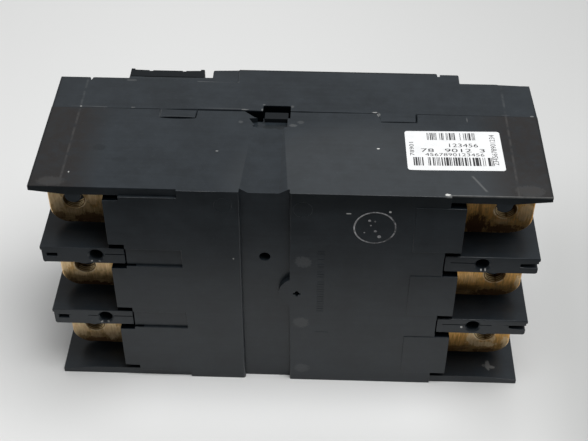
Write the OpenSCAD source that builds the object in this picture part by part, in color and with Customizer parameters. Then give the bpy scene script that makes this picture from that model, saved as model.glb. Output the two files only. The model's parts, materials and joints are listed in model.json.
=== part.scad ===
// Three-pole molded case circuit breaker, 400 A frame size.
// It lies on one long side, as it is put down on a bench: X runs along its length from the
// load end to the line end, Y from the mounting side to the handle side, and Z is up.
// The origin is at the centre of the footprint, on the surface that the breaker lies on.

/* [Case] */
// Length of the case, end to end
case_l = 279.4; // [270:0.1:300]
// Width of the case across the three poles, which is its height as it lies
case_w = 152.4; // [150:0.1:160]
// Depth of the base, from the back edge of its walls to the cover
base_d = 70; // [60:0.1:80]
// Depth of the cover at both ends, over the terminals
end_cover_d = 30.7; // [24:0.1:36]
// Height of the raised front above the ends of the cover
front_rise = 10.7; // [7:0.1:12]
// Distance between poles
pole_pitch = 50.8; // [50:0.1:53]
// Thickness of the side walls
wall_t = 5.4; // [4.5:0.1:7]
// Thickness of the side walls at both ends
wall_tip_t = 3.2; // [2.5:0.1:4]
// Length over which the side walls get thinner towards both ends
wall_tip_l = 19.7; // [12:0.1:24]
// Clearance between pieces that fit into each other
fit_gap = 0.2; // [0.1:0.05:0.3]

/* [Terminal pockets] */
// Length of the pockets at the load end
load_pocket_l = 39.2; // [36:0.1:42]
// Length of the pockets at the line end
line_pocket_l = 44.7; // [40:0.1:48]
// Thickness of the barriers between the pockets
barrier_t = 11.6; // [11.3:0.1:14]
// Depth to which a barrier goes into the core of the base
barrier_seat_l = 8.8; // [6:0.1:10]
// Thickness of the outer skin on the upper face of a barrier
barrier_skin_t = 2.3; // [1.5:0.1:4]
// Length by which that skin stands out past the barrier
barrier_step = 0.7; // [0.3:0.1:2]
// Radius of the lower outer corner of a barrier
barrier_corner_r = 1.5; // [1:0.1:4]
// Gap left between a barrier and the far end of its seat
barrier_seam_w = 0.6; // [0.2:0.1:1.2]
// Width of the slots below the barriers and below the upper side wall in the back
relief_w = 2.8; // [2:0.1:4]
// Width of the slots above the barriers and above the lower side wall
low_relief_w = 4.3; // [2:0.1:5]
// Depth of those slots
relief_d = 12; // [6:0.5:20]
// Thickness of the front plate over the pockets
pocket_roof_t = 8; // [5:0.1:10]

/* [Barrier grooves] */
// Width of the grooves for phase barriers
groove_w = 2.8; // [2:0.1:4]
// Length of the grooves at the line end
line_groove_l = 10.7; // [6:0.1:14]
// Length of the closed slots at the load end
load_groove_l = 6.2; // [4:0.1:10]
// Wall left between the closed slots and the load end
load_groove_wall = 3.2; // [2:0.1:5]

/* [Mounting holes] */
// Distance between mounting holes along the case
mount_pitch_x = 216.6; // [212:0.1:222]
// Shift of the mounting holes towards the load end
mount_shift_x = 0.3; // [0:0.1:2]
// Diameter of the mounting holes
mount_hole_d = 7.6; // [5.5:0.1:8]
// Diameter of their chamfered rims in the back
mount_rim_d = 9.6; // [8.2:0.1:10.6]
// Depth of the chamfered rims
mount_rim_h = 1; // [0.5:0.1:2]
// Diameter of the recesses for the screw heads
mount_head_d = 11; // [9:0.1:11.2]
// Depth of the recesses for the screw heads
mount_head_h = 7; // [4:0.1:12]

/* [Terminals] */
// Distance from a load terminal's hole to the load end
load_hole_inset = 18.9; // [17:0.1:22]
// Distance from a line terminal's hole to the line end
line_hole_inset = 20.2; // [17:0.1:22]
// Distance from a terminal's tip to the end of the case
terminal_tip_inset = 4.3; // [3:0.1:8]
// Gap between a terminal and each wall of its pocket
terminal_side_gap = 2.6; // [2:0.1:6]
// Thickness of a terminal
terminal_t = 6.4; // [5:0.1:8]
// Depth of the terminals behind the back edge of the walls
terminal_y = 18; // [14:0.1:20]
// Tapping diameter of the threaded hole in a terminal
terminal_hole_d = 10.8; // [8:0.1:12]
// Radius of a terminal's outer corners
terminal_corner_r = 11; // [4:0.1:12]
// Length of a terminal inside the core of the base
terminal_seat_l = 14; // [8:0.1:20]
// Distance from a terminal's hole to the lobes beside it
lobe_offset = 4.7; // [2:0.1:6]
// Width of the lobes over the terminal holes
lobe_w = 8.5; // [6:0.1:10]
// Length of the lobes below a side wall
wall_lobe_l = 5.5; // [4.5:0.1:7]
// Length of the lobes below a barrier
barrier_lobe_l = 0.6; // [0.4:0.1:2]
// Depth of the lobes
lobe_d = 9; // [4:0.1:12]

/* [Back of the base] */
// Height of the mounting pads above the back edge of the walls
pad_rise = 1.3; // [0.5:0.1:2]
// Extra height of the pads at the line end
line_pad_rise = 0.4; // [0.2:0.1:1]
// Length of the pads at the line end
line_pad_l = 27; // [20:0.1:32]
// Length of the recessed strips at the load end, past the barriers
load_strip_l = 31.5; // [25:0.1:36]
// Width of those strips
load_strip_w = 13.2; // [12:0.1:15]
// Centre of the recessed strip across the back
channel_x = -13.2; // [-20:0.1:-8]
// Width of the recessed strip across the back
channel_w = 27.2; // [22:0.1:30]
// Depth of that strip below the pads
channel_d = 3.2; // [2:0.1:4]
// Distance of the round boss from the middle of the case, towards the line end
boss_x = 6.7; // [5:0.1:9]
// Diameter of the round boss, which stands into the recessed strip
boss_d = 25.4; // [22:0.1:28]
// Distance of the small hole in the boss from the middle of the case, towards the line end
small_hole_x = 4.4; // [2:0.1:8]
// Diameter of the small hole in the boss
small_hole_d = 3; // [2:0.1:4]
// Diameter of the hole in the recessed strip
strip_hole_d = 6.4; // [4:0.1:8]
// Distance of that hole from the middle of the case, upwards
strip_hole_z = 26; // [20:0.1:32]
// Shift of that hole from the middle of the channel towards the load end
strip_hole_shift = 0.5; // [0:0.1:1.5]
// Depth of both holes
back_hole_h = 14; // [8:0.1:20]

/* [Latch and tabs] */
// Centre of the latch windows along the case
latch_x = -9.5; // [-12:0.1:-7]
// Width of the latch windows
latch_window_w = 16; // [14:0.1:18]
// Height of the latch windows in the cover
latch_window_h = 5.6; // [4:0.1:8]
// Width of the latch bar
latch_bar_w = 13.6; // [10:0.1:13.8]
// Height of the latch bar
latch_bar_h = 6; // [4:0.1:7]
// Depth of the latch window into the side wall
latch_depth = 4.6; // [3:0.1:6]
// Thickness of the latch bar
latch_bar_t = 4; // [3:0.1:4.4]
// Distance from the cover to the lower edge of the dished recess
dish_h = 14.3; // [12:0.1:18]
// Width of the dished recess at its lower edge
dish_w = 18; // [16:0.1:20]
// Extra width of the dished recess at its top, towards the load end
dish_flare = 4; // [1:0.1:6]
// Height of the dished recess at its load end
dish_side_h = 7.3; // [4:0.1:7.6]
// Centre of the dished recess along the case
dish_x = -12; // [-13:0.1:-11]
// Length of the wedge-shaped gap beside the latch
wedge_l = 10.8; // [8:0.1:18]
// Length of the wedge's flatter part, next to the latch
wedge_flat_l = 4.5; // [3:0.1:6]
// Depth of the wedge where its flatter part starts
wedge_knee_d = 5.8; // [3:0.1:6]
// Depth of the wedge next to the latch
wedge_end_d = 7.6; // [6.6:0.1:9]
// Depth of the trough at the back edge
trough_d = 3.2; // [2:0.1:4]
// Depth of the trough where it meets the dished recess
trough_end_d = 0.6; // [0.4:0.1:2]
// Distance from the middle of the recessed strip to that of the trough, towards the load end
trough_offset = 0.5; // [0:0.1:2]
// Width of the trough's flat bottom
trough_floor_w = 16.6; // [12:0.1:18]
// Width of each of the trough's sloped sides
trough_slope_w = 5.2; // [3:0.1:7]
// Centre of the cover tab towards the load end
load_tab_x = -65.9; // [-72:0.1:-60]
// Centre of the cover tab towards the line end
line_tab_x = 60; // [55:0.1:66]
// Width of the cover tabs at their tips
tab_w = 19.5; // [16:0.1:22]
// Length of the cover tabs
tab_l = 7.4; // [5:0.1:9]
// Slant of each side of a cover tab
tab_slant = 1.2; // [0.5:0.1:2]
// Thickness of the cover tabs
tab_t = 3.6; // [2.5:0.1:5]

/* [Front] */
// Distance from the load end to the raised front
load_step_l = 40.5; // [38:0.1:44]
// Distance from the line end to the raised front
line_step_l = 41.9; // [38:0.1:44]
// Set-back of the narrower part of the raised front from each side wall
shoulder_in = 1; // [0.5:0.1:5]
// End of the narrower part of the raised front, along the case
shoulder_end_x = -34; // [-36:0.1:-26]
// Length of the ramps on the shoulders beside the narrower part
shoulder_ramp = 3; // [1.5:0.1:5]
// Drop from the seat of the trip unit cover to the shoulders
shoulder_drop = 2.7; // [1:0.1:3]
// Further drop of the shoulders next to the raised front
shoulder_dip = 2.9; // [2:0.1:5]
// Height of the step on the line end's cover
line_end_step = 1; // [0.5:0.1:2]
// Distance by which the cover's line end leans back from the base to the front
line_end_lean = 1; // [0.5:0.1:1.5]
// Distance of the nick in the raised front from its line end
nick_inset = 11.4; // [8:0.1:14]
// Width of the nick
nick_w = 2; // [1.5:0.1:4]
// Width of the nick's sloped side
nick_slope_w = 0.6; // [0.4:0.1:1.2]
// Depth of the nick
nick_d = 3.6; // [2.2:0.1:4.5]
// Drop of the raised front between the nick and its line end
front_end_drop = 1; // [0.4:0.1:2]
// Distance between the trip unit cover and the raised front
cover_gap_w = 5.2; // [3:0.1:6]
// Start of the raised front next to the trip unit cover
front_start_x = -49.5; // [-54:0.1:-46]
// Thickness of the trip unit cover
trip_cover_t = 6.4; // [3.5:0.1:8]
// Height of the rims on the trip unit cover
trip_cover_rim = 1.1; // [0.5:0.1:2]
// Width of the rims on the trip unit cover
trip_cover_rim_w = 2.4; // [1.5:0.1:4]
// Width of the pry notches in the load end
pry_notch_w = 2.2; // [1.5:0.1:4]
// Depth of the pry notches
pry_notch_d = 3.4; // [2:0.1:6]
// Length of the pry notches across the case
pry_notch_l = 9; // [6:0.1:12]
// Diameter of the access holes over the terminals
access_hole_d = 15; // [12:0.1:17]

/* [Handle] */
// Place of the handle along the case, between its ON and OFF ends
handle_x = 26; // [20:0.1:32]
// Throw of the handle along the case
handle_throw = 40; // [34:0.1:44]
// Length of the handle above the raised front
handle_h = 25; // [20:0.1:32]
// Length of the handle's foot along the case
handle_foot_l = 20; // [16:0.1:24]
// Length of the handle's tip along the case
handle_tip_l = 13; // [10:0.1:16]
// Width of the handle
handle_w = 19; // [15:0.1:22]
// Width of the rim of the handle guard
guard_rim_w = 8; // [6:0.1:10]
// Height of the handle guard above the raised front
guard_rise = 2.2; // [1:0.1:4]
// Depth of the guard's seat in the cover
guard_seat_d = 3; // [2:0.1:4]
// Thickness of the shutter round the handle
shutter_t = 2; // [1.5:0.1:3]
// Depth of the handle well
well_d = 12; // [9:0.1:14]
// Running gap at the handle and its shutter
handle_gap = 0.3; // [0.2:0.05:0.5]

/* [Controls and fixings] */
// Diameter of the trip button
button_d = 8; // [6:0.1:10]
// Height of the trip button above the raised front
button_rise = 1.2; // [0.5:0.1:2]
// Depth of the trip button's hole
button_seat_d = 6; // [4:0.1:8]
// Distance from the trip button to the handle guard
button_offset = 12; // [10:0.1:14]
// Diameter of the trip dials
dial_d = 15; // [12:0.1:18]
// Height of the trip dials above their cover
dial_rise = 1.4; // [0.8:0.1:2]
// Depth of the seat of a trip dial
dial_seat_d = 2.6; // [2:0.1:3]
// Width of the screwdriver slots
driver_slot_w = 1.6; // [1:0.1:2]
// Depth of the screwdriver slots
driver_slot_d = 1.4; // [1:0.1:1.6]
// Diameter of the cover screw heads
screw_head_d = 9; // [7:0.1:10]
// Height of the cover screw heads
screw_head_h = 4; // [3:0.1:5]
// Depth of the counterbores over the cover screws
screw_sink_d = 7; // [6:0.1:9]
// Distance from the cover screws to the side walls' outer faces
screw_inset_z = 13; // [12:0.1:16]
// Distance from the cover screws to the ends of the raised front
screw_inset_x = 9.5; // [8:0.1:12]
// Height of the trip cover screws above their cover
trip_screw_rise = 0.8; // [0.5:0.1:1.5]
// Distance of the grooves from the middle of the trip unit cover
trip_groove_x = 10; // [9:0.1:12]
// Width of the grooves in the trip unit cover
trip_groove_w = 2.2; // [1:0.1:3]
// Depth of the grooves in the trip unit cover
trip_groove_d = 1; // [0.5:0.1:1.5]
// Length of the rating plate along the case
plate_l = 76; // [60:0.5:84]
// Width of the rating plate
plate_w = 30; // [24:0.5:32]
// Thickness of the rating plate and the side label
label_t = 0.3; // [0.2:0.05:0.5]
// Length of the side label along the case
label_l = 53; // [45:0.1:60]
// Width of the side label
label_w = 34; // [28:0.1:38]
// Distance from the side label to the line end
label_inset = 23.2; // [20:0.1:30]
// Centre of the side label above the back edge of the walls
label_y = 37.8; // [32:0.1:44]
// Angle at which the side label is stuck on
label_turn = 1.1; // [-2:0.1:2]
// Distance from the rating plate to the handle guard
plate_gap = 4; // [2:0.1:8]

/* [Hidden] */
$fn = 64;
eps = 1;
half_l = case_l / 2;
latch_low_x = latch_x - latch_window_w / 2;
latch_high_x = latch_x + latch_window_w / 2;
trough_x = channel_x - trough_offset;
load_groove_x = [-half_l + load_groove_wall, -half_l + load_groove_wall + load_groove_l];
line_groove_x = [half_l - line_groove_l, half_l + eps];
mid_z = case_w / 2;
barrier_z = [mid_z - pole_pitch / 2, mid_z + pole_pitch / 2];
pole_z = [for (pole = [0:2]) (pocket_span(pole, 0)[0] + pocket_span(pole, 0)[1]) / 2];
load_core_x = -half_l + load_pocket_l;
line_core_x = half_l - line_pocket_l;
load_seam_x = load_core_x + barrier_seat_l;
line_seam_x = line_core_x - barrier_seat_l;
barrier_seats_x = [[load_core_x - eps, load_seam_x], [line_seam_x, line_core_x + eps]];
terminal_seats_x = [
  [load_core_x - eps, load_core_x + terminal_seat_l + fit_gap],
  [line_core_x - terminal_seat_l - fit_gap, line_core_x + eps]
];
mount_x = [-mount_pitch_x / 2 - mount_shift_x, mount_pitch_x / 2 - mount_shift_x];
terminal_hole_x = [-half_l + load_hole_inset, half_l - line_hole_inset];
end_y = base_d + end_cover_d;
front_y = end_y + front_rise;
back_y = -pad_rise - line_pad_rise;
tip_y = front_y + handle_h;
centre_y = (back_y + tip_y) / 2;
load_step_x = -half_l + load_step_l;
line_step_x = half_l - line_step_l;
trip_cover_end_x = front_start_x - cover_gap_w;
trip_face_y = front_y - trip_cover_rim;
trip_seat_y = trip_face_y - trip_cover_t;
shoulder_y = trip_seat_y - shoulder_drop;
shoulder_low_y = shoulder_y - shoulder_dip;
pocket_roof_y = end_y - pocket_roof_t;
guard_l = handle_throw + handle_foot_l + 2 * guard_rim_w;
guard_w = handle_w + 2 * handle_gap + 2 * guard_rim_w;
well_l = guard_l - 2 * guard_rim_w;
well_w = guard_w - 2 * guard_rim_w;
well_floor_y = front_y - well_d;
shutter_y = front_y - guard_seat_d - shutter_t;
handle_off_x = handle_x - handle_throw / 2;
button_x = handle_x - guard_l / 2 - button_offset;
trip_cover_x = (load_step_x + trip_cover_end_x) / 2;
nick_x = line_step_x - nick_inset;
cover_screw_x = [front_start_x + screw_inset_x, nick_x - screw_inset_x];
cover_screw_z = [screw_inset_z, case_w - screw_inset_z];
cover_screw_places = [for (x = cover_screw_x, z = cover_screw_z) [x, z]];
plastic = [0.11, 0.11, 0.12];
grey_plastic = [0.2, 0.2, 0.21];
brass_colour = [0.62, 0.44, 0.22];
steel_colour = [0.6, 0.6, 0.6];

// Span of the pocket of one pole, between the faces of its walls, narrowed by a margin.
function pocket_span(pole, margin) = [
  (pole == 0 ? wall_t : barrier_z[pole - 1] + barrier_t / 2) + margin,
  (pole == 2 ? case_w - wall_t : barrier_z[pole] - barrier_t / 2) - margin
];

// Span of the raised pad beside the pocket of one pole.
function pad_span(pole) = [pocket_span(pole, low_relief_w)[0], pocket_span(pole, relief_w)[1]];

// Moves a piece from the case's own depth axis to the centre of the footprint.
module placed() {
  translate([0, -centre_y, 0])
    children();
}

// A block between two values on each axis.
module block(x, y, z) {
  translate([x[0], y[0], z[0]])
    cube([x[1] - x[0], y[1] - y[0], z[1] - z[0]]);
}

// A round bar along Y from y[0] to y[1].
module rod(d, x, y, z) {
  translate([x, y[1], z])
    rotate([90, 0, 0])
      cylinder(d = d, h = y[1] - y[0]);
}

// A chamfer that widens a hole in the back from the diameter d to rim_d, over the depth h.
module rim(d, rim_d, x, h, z) {
  taper = (rim_d - d) / 2 / h;
  translate([x, h, z])
    rotate([90, 0, 0])
      cylinder(d1 = d, d2 = rim_d + 2 * eps * taper, h = h + eps);
}

// Makes its child, and the same on the other long side of the case.
module both_sides() {
  children();
  translate([0, 0, case_w])
    mirror([0, 0, 1])
      children();
}

// Makes its child at the line end, or mirrored at the load end when dir is negative.
module at_end(dir) {
  if (dir < 0)
    mirror([1, 0, 0])
      children();
  else
    children();
}

// An outline in the X-Z plane, drawn along Y from y[0] to y[1].
module deep(y) {
  translate([0, y[1], 0])
    rotate([90, 0, 0])
      linear_extrude(y[1] - y[0])
        children();
}

// Side wall between y[0] and y[1], which thins towards its tips at both ends.
module side_wall(y) {
  tip_x = half_l - wall_tip_l;
  deep(y)
    polygon([
      [-half_l, 0], [half_l, 0], [half_l, wall_tip_t],
      [tip_x, wall_t], [-tip_x, wall_t], [-half_l, wall_tip_t]
    ]);
}

// The middle of each tab on the cover, grown by a clearance for its notch in the base.
module tabs(grow) {
  for (x = [load_tab_x, line_tab_x])
    translate([x, 0, case_w - tab_t - grow])
      linear_extrude(tab_t + grow + (grow > 0 ? eps : 0))
        polygon([
          [-tab_w / 2 - tab_slant - grow, base_d], [-tab_w / 2 - grow, base_d - tab_l - grow],
          [tab_w / 2 + grow, base_d - tab_l - grow], [tab_w / 2 + tab_slant + grow, base_d],
          [tab_w / 2, base_d + eps], [-tab_w / 2, base_d + eps]
        ]);
}

// Seats of the barriers and terminals in the core of the base.
module core_seats() {
  seat_half_w = barrier_t / 2 + fit_gap;
  half_t = barrier_t / 2;
  for (x = barrier_seats_x, z = barrier_z) {
    block([x[0] - fit_gap, x[1] + fit_gap], [back_y - eps, base_d + eps],
          [z - seat_half_w, z + seat_half_w]);
    block(x, [back_y - eps, relief_d], [z - half_t - relief_w, z + half_t + low_relief_w]);
  }
  seat_y = [terminal_y, terminal_y + terminal_t + fit_gap];
  for (x = terminal_seats_x, pole = [0:2])
    block(x, seat_y, pocket_span(pole, terminal_side_gap - fit_gap));
}

// Slots in the back beside the side walls.
module wall_reliefs() {
  for (x = barrier_seats_x) {
    block(x, [back_y - eps, relief_d], [wall_t, wall_t + low_relief_w]);
    block(x, [back_y - eps, relief_d], [case_w - wall_t - relief_w, case_w - wall_t]);
  }
}

// Raised pads on the back, with the recessed strips left out.
module back_pads() {
  difference() {
    block([load_seam_x, line_seam_x], [-pad_rise, eps], [0, case_w]);
    for (z = barrier_z)
      block([load_seam_x - eps, load_seam_x + load_strip_l], [-pad_rise - eps, 0],
            [z - load_strip_w / 2, z + load_strip_w / 2]);
    both_sides()
      block([load_seam_x - eps, load_seam_x + load_strip_l], [-pad_rise - eps, 0], [-eps, wall_t]);
  }
  for (pole = [0:2]) {
    block([load_core_x, load_seam_x + eps], [-pad_rise, eps], pad_span(pole));
    block([line_core_x - line_pad_l, line_core_x], [back_y, eps], pad_span(pole));
  }
}

// Seat of a latch bar in the base.
module latch_seat() {
  block([latch_low_x, latch_high_x], [base_d - latch_bar_h - fit_gap, base_d + eps],
        [case_w - latch_depth, case_w + eps]);
}

// The dished recess below the latch and the trough that runs from it to the back edge.
module latch_recess() {
  dish_y = base_d - dish_h;
  tilt = atan((trough_d - trough_end_d) / (dish_y - back_y));
  dish_low_x = dish_x - dish_w / 2;
  dish_high_x = dish_x + dish_w / 2;
  translate([0, 0, case_w - trough_d])
    linear_extrude(trough_d + eps)
      polygon([
        [dish_low_x, dish_y], [dish_high_x, dish_y], [dish_high_x, base_d - latch_bar_h],
        [latch_low_x, base_d - latch_bar_h], [dish_low_x - dish_flare, dish_y + dish_side_h]
      ]);
  translate([0, 0, case_w - latch_depth])
    linear_extrude(latch_depth + eps)
      polygon([
        [latch_low_x - wedge_l, base_d + eps], [latch_low_x - wedge_l, base_d],
        [latch_low_x - wedge_flat_l, base_d - wedge_knee_d],
        [latch_low_x + eps, base_d - wedge_end_d], [latch_low_x + eps, base_d + eps]
      ]);
  translate([trough_x, back_y, case_w - trough_d])
    rotate([tilt, 0, 0])
      rotate([90, 0, 0])
        translate([0, 0, -(dish_y + eps - back_y)])
          linear_extrude(dish_y - back_y + 2 * eps)
            polygon([
              [-trough_floor_w / 2, 0], [trough_floor_w / 2, 0],
              [trough_floor_w / 2 + 2 * trough_slope_w, 2 * trough_d],
              [-trough_floor_w / 2 - 2 * trough_slope_w, 2 * trough_d]
            ]);
}

// Lobe that hangs in front of a terminal hole, down from the height z.
module lobe(x, z, l) {
  block([x - lobe_w / 2, x + lobe_w / 2], [0, lobe_d], [z - l + min(l, lobe_w / 2), z + eps]);
  intersection() {
    rod(lobe_w, x, [0, lobe_d], z - l + lobe_w / 2);
    block([x - lobe_w, x + lobe_w], [0, lobe_d], [z - l, z + eps]);
  }
}

module base() {
  color(plastic)
    placed()
      difference() {
        union() {
          block([load_core_x, line_core_x], [0, base_d], [0, case_w]);
          both_sides()
            side_wall([0, base_d]);
          back_pads();
          for (x = [terminal_hole_x[0] + lobe_offset, terminal_hole_x[1] - lobe_offset])
            lobe(x, case_w - wall_t, wall_lobe_l);
        }
        core_seats();
        wall_reliefs();
        difference() {
          block([channel_x - channel_w / 2, channel_x + channel_w / 2], [back_y - eps, channel_d - pad_rise],
                [-eps, case_w + eps]);
          rod(boss_d, boss_x, [-pad_rise, channel_d], mid_z);
        }
        rod(small_hole_d, small_hole_x, [back_y - eps, back_hole_h], mid_z);
        rod(strip_hole_d, channel_x - strip_hole_shift, [back_y - eps, back_hole_h], mid_z + strip_hole_z);
        latch_recess();
        both_sides() {
          tabs(fit_gap);
          latch_seat();
        }
      }
}

// Barrier between two poles at the height z, on the side of the end that dir points to.
module barrier(dir, z) {
  seam_x = dir < 0 ? -load_seam_x : line_seam_x;
  hole_x = dir < 0 ? -terminal_hole_x[0] : terminal_hole_x[1];
  end_mount_x = dir < 0 ? -mount_x[0] : mount_x[1];
  end_x = half_l - barrier_step;
  low_z = z - barrier_t / 2;
  high_z = z + barrier_t / 2;
  groove_x = dir < 0 ? -load_groove_x : line_groove_x;
  color(plastic)
    placed()
      at_end(dir)
        difference() {
          union() {
            difference() {
              block([seam_x + barrier_seam_w, end_x], [0, base_d], [low_z, high_z]);
              block([end_x - barrier_corner_r, end_x + eps], [-eps, base_d + eps],
                    [low_z - eps, low_z + barrier_corner_r]);
            }
            rod(2 * barrier_corner_r, end_x - barrier_corner_r, [0, base_d], low_z + barrier_corner_r);
            block([seam_x + barrier_seat_l, half_l], [0, base_d], [high_z - barrier_skin_t, high_z]);
            lobe(hole_x - lobe_offset, low_z, barrier_lobe_l);
          }
          block([min(groove_x), max(groove_x)], [-eps, base_d + eps], [z - groove_w / 2, z + groove_w / 2]);
          rod(mount_hole_d, end_mount_x, [-eps, base_d + eps], z);
          rim(mount_hole_d, mount_rim_d, end_mount_x, mount_rim_h, z);
        }
}

// Terminal strap of one pole, on the side of the end that dir points to.
module terminal(dir, pole) {
  core_x = dir < 0 ? -load_core_x : line_core_x;
  hole_x = dir < 0 ? -terminal_hole_x[0] : terminal_hole_x[1];
  tip_x = half_l - terminal_tip_inset;
  corner_x = tip_x - terminal_corner_r;
  z = pocket_span(pole, terminal_side_gap);
  corner_z = [z[0] + terminal_corner_r, z[1] - terminal_corner_r];
  y = [terminal_y, terminal_y + terminal_t];
  color(brass_colour)
    placed()
      at_end(dir)
        difference() {
          union() {
            block([core_x - terminal_seat_l, corner_x], y, z);
            block([core_x, tip_x], y, corner_z);
            for (end_z = corner_z)
              rod(2 * terminal_corner_r, corner_x, y, end_z);
          }
          rod(terminal_hole_d, hole_x, [y[0] - eps, y[1] + eps], pole_z[pole]);
        }
}

// Outline of the cover along its length, as seen from a long side.
module cover_outline() {
  polygon([
    [-half_l, base_d], [half_l, base_d], [half_l - line_end_lean, end_y],
    [half_l - wall_tip_l, end_y], [half_l - wall_tip_l, end_y + line_end_step],
    [line_step_x, end_y + line_end_step], [line_step_x, front_y - front_end_drop],
    [nick_x, front_y - front_end_drop], [nick_x, front_y - nick_d],
    [nick_x - nick_w + nick_slope_w, front_y - nick_d], [nick_x - nick_w, front_y],
    [shoulder_end_x, front_y], [shoulder_end_x, shoulder_low_y],
    [trip_cover_end_x - shoulder_ramp, shoulder_low_y], [trip_cover_end_x - 2 * shoulder_ramp, shoulder_y],
    [load_step_x + 2 * shoulder_ramp, shoulder_y], [load_step_x, end_y], [-half_l, end_y]
  ]);
}

module cover() {
  color(plastic)
    placed()
      difference() {
        union() {
          linear_extrude(case_w)
            cover_outline();
          block([load_step_x, shoulder_end_x + eps], [shoulder_low_y - eps, trip_seat_y],
                [shoulder_in, case_w - shoulder_in]);
          block([front_start_x, shoulder_end_x + eps], [shoulder_low_y - eps, front_y],
                [shoulder_in, case_w - shoulder_in]);
          both_sides()
            tabs(0);
        }
        for (pole = [0:2]) {
          block([-half_l - eps, load_core_x], [base_d - eps, pocket_roof_y], pocket_span(pole, 0));
          block([line_core_x, half_l + eps], [base_d - eps, pocket_roof_y], pocket_span(pole, 0));
        }
        for (x = terminal_hole_x, z = pole_z)
          rod(access_hole_d, x, [pocket_roof_y - eps, end_y + line_end_step + eps], z);
        for (x = [line_groove_x, load_groove_x], z = barrier_z)
          block(x, [base_d - eps, end_y + eps], [z - groove_w / 2, z + groove_w / 2]);
        for (x = mount_x, z = barrier_z) {
          rod(mount_hole_d, x, [base_d - eps, front_y], z);
          rod(mount_head_d, x, [end_y - mount_head_h, front_y], z);
        }
        both_sides() {
          block([latch_low_x, latch_high_x], [base_d - eps, base_d + latch_window_h],
                [case_w - latch_depth, case_w + eps]);
          pry_notch();
        }
        block([handle_x - guard_l / 2 - fit_gap, handle_x + guard_l / 2 + fit_gap],
              [front_y - guard_seat_d, front_y + eps],
              [mid_z - guard_w / 2 - fit_gap, mid_z + guard_w / 2 + fit_gap]);
        block([handle_x - well_l / 2, handle_x + well_l / 2], [well_floor_y, front_y],
              [mid_z - well_w / 2, mid_z + well_w / 2]);
        rod(button_d + 2 * fit_gap, button_x, [front_y - button_seat_d, front_y + eps], mid_z);
        for (place = cover_screw_places)
          rod(screw_head_d + 2 * fit_gap, place[0], [front_y - screw_sink_d, front_y + eps], place[1]);
      }
}

// Notch with sloped sides for lifting the cover at the load end.
module pry_notch() {
  x = -half_l + wall_tip_l - pry_notch_w / 2;
  translate([0, 0, case_w - pry_notch_l])
    linear_extrude(pry_notch_l + eps)
      polygon([
        [x - pry_notch_w / 2, end_y], [x, end_y - pry_notch_d],
        [x + pry_notch_w / 2, end_y], [x, end_y + eps]
      ]);
}

module trip_unit_cover() {
  width_z = [shoulder_in, case_w - shoulder_in];
  color(grey_plastic)
    placed()
      difference() {
        union() {
          block([load_step_x, trip_cover_end_x], [trip_seat_y, trip_face_y], width_z);
          for (x = [load_step_x, trip_cover_end_x - trip_cover_rim_w])
            block([x, x + trip_cover_rim_w], [trip_seat_y, front_y], width_z);
        }
        for (x = [trip_cover_x - trip_groove_x, trip_cover_x + trip_groove_x])
          block([x - trip_groove_w / 2, x + trip_groove_w / 2],
                [trip_face_y - trip_groove_d, trip_face_y + eps], [0, case_w]);
        for (z = pole_z)
          rod(dial_d + 2 * fit_gap, trip_cover_x, [trip_face_y - dial_seat_d, trip_face_y + eps], z);
        for (z = barrier_z)
          rod(screw_head_d + 2 * fit_gap, trip_cover_x, [trip_face_y - dial_seat_d, trip_face_y + eps], z);
      }
}

// A round piece with a screwdriver slot, from its seat at y[0] to its face at y[1].
module slotted(d, x, y, z) {
  placed()
    difference() {
      rod(d, x, y, z);
      block([x - d, x + d], [y[1] - driver_slot_d, y[1] + eps],
            [z - driver_slot_w / 2, z + driver_slot_w / 2]);
    }
}

module trip_dial(pole) {
  color(steel_colour)
    slotted(dial_d, trip_cover_x, [trip_face_y - dial_seat_d, trip_face_y + dial_rise], pole_z[pole]);
}

module trip_cover_screw(index) {
  color(steel_colour)
    slotted(screw_head_d, trip_cover_x, [trip_face_y - dial_seat_d, trip_face_y + trip_screw_rise],
            barrier_z[index]);
}

module cover_screw(index) {
  place = cover_screw_places[index];
  floor_y = front_y - screw_sink_d;
  color(steel_colour)
    slotted(screw_head_d, place[0], [floor_y, floor_y + screw_head_h], place[1]);
}

module trip_button() {
  color("firebrick")
    placed()
      rod(button_d, button_x, [front_y - button_seat_d, front_y + button_rise], mid_z);
}

module handle_guard() {
  low_y = front_y - guard_seat_d;
  high_y = front_y + guard_rise;
  color(grey_plastic)
    placed()
      difference() {
        block([handle_x - guard_l / 2, handle_x + guard_l / 2], [low_y, high_y],
              [mid_z - guard_w / 2, mid_z + guard_w / 2]);
        block([handle_x - well_l / 2, handle_x + well_l / 2], [low_y - eps, high_y + eps],
              [mid_z - well_w / 2, mid_z + well_w / 2]);
      }
}

// Closes the well between the handle and the ON end.
module handle_shutter() {
  color(grey_plastic)
    placed()
      block([handle_off_x + handle_foot_l / 2 + handle_gap, handle_x + well_l / 2 - handle_gap],
            [shutter_y, shutter_y + shutter_t], [mid_z - handle_w / 2, mid_z + handle_w / 2]);
}

// The handle stands at its OFF end, towards the load terminals.
module handle() {
  color(plastic)
    placed()
      translate([handle_off_x, 0, mid_z - handle_w / 2])
        linear_extrude(handle_w)
          polygon([
            [-handle_foot_l / 2, well_floor_y], [handle_foot_l / 2, well_floor_y],
            [handle_foot_l / 2, front_y], [handle_tip_l / 2, tip_y],
            [-handle_tip_l / 2, tip_y], [-handle_foot_l / 2, front_y]
          ]);
}

module latch() {
  color(grey_plastic)
    placed()
      block([latch_x - latch_bar_w / 2, latch_x + latch_bar_w / 2], [base_d - latch_bar_h, base_d],
            [case_w - latch_depth, case_w - latch_depth + latch_bar_t]);
}

module upper_latch() {
  latch();
}

module lower_latch() {
  translate([0, 0, case_w])
    mirror([0, 0, 1])
      latch();
}

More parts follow.
